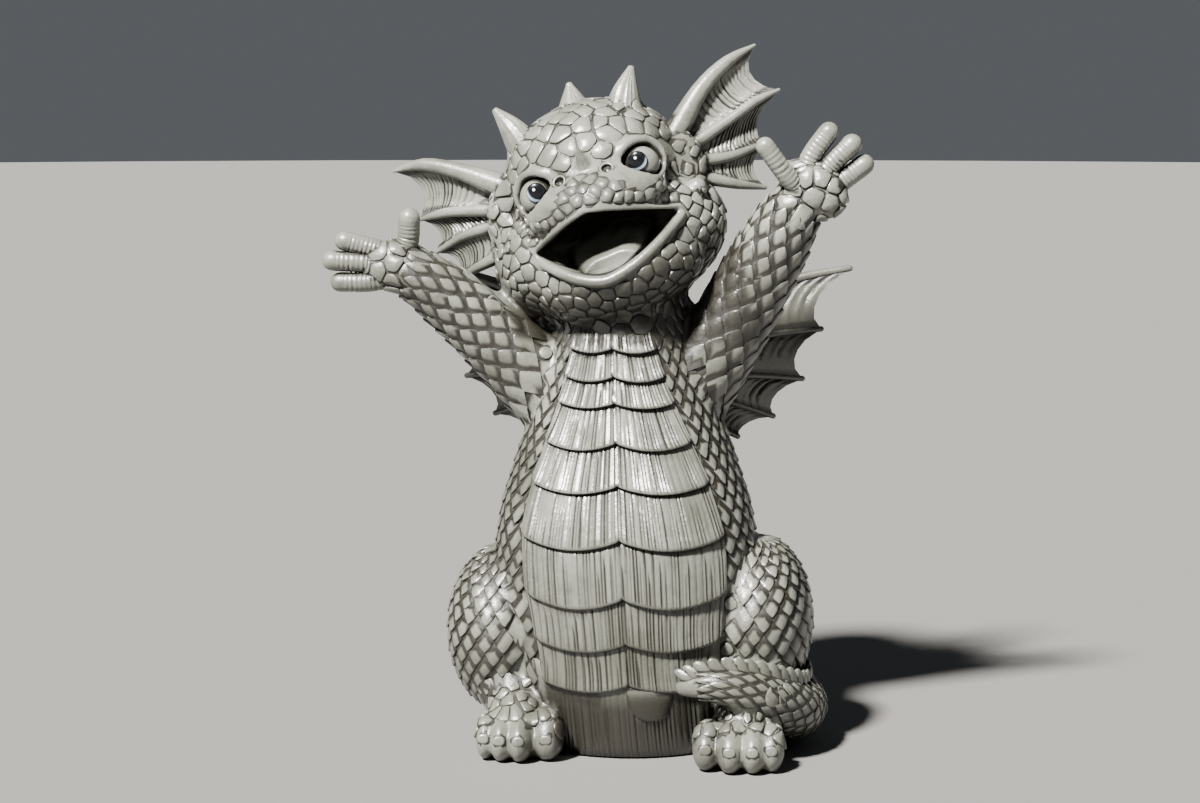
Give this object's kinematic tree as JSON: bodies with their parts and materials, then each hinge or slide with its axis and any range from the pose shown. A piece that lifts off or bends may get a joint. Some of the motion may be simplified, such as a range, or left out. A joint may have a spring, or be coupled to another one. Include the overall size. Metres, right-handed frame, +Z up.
{
  "type": "dragon statue",
  "caption": "Cast resin garden dragon sitting upright with raised arms, open mouth, fan ears, small wings, plated belly and a tail wrapped round one foot.",
  "frame": {"origin": "centre of the body's flat underside, on the surface it stands on", "axes": "+Z up, -Y the way the dragon faces, +X towards its own left arm, the higher one"},
  "size_m": [0.2021, 0.1162, 0.2595],
  "materials": {
    "resin": "stone-grey cast resin, satin, dark wash in the recesses",
    "eye": "black, polished dome"
  },
  "bodies": {
    "root": {"dragon": "resin", "left_eye": "eye", "right_eye": "eye"}
  },
  "joints": []
}
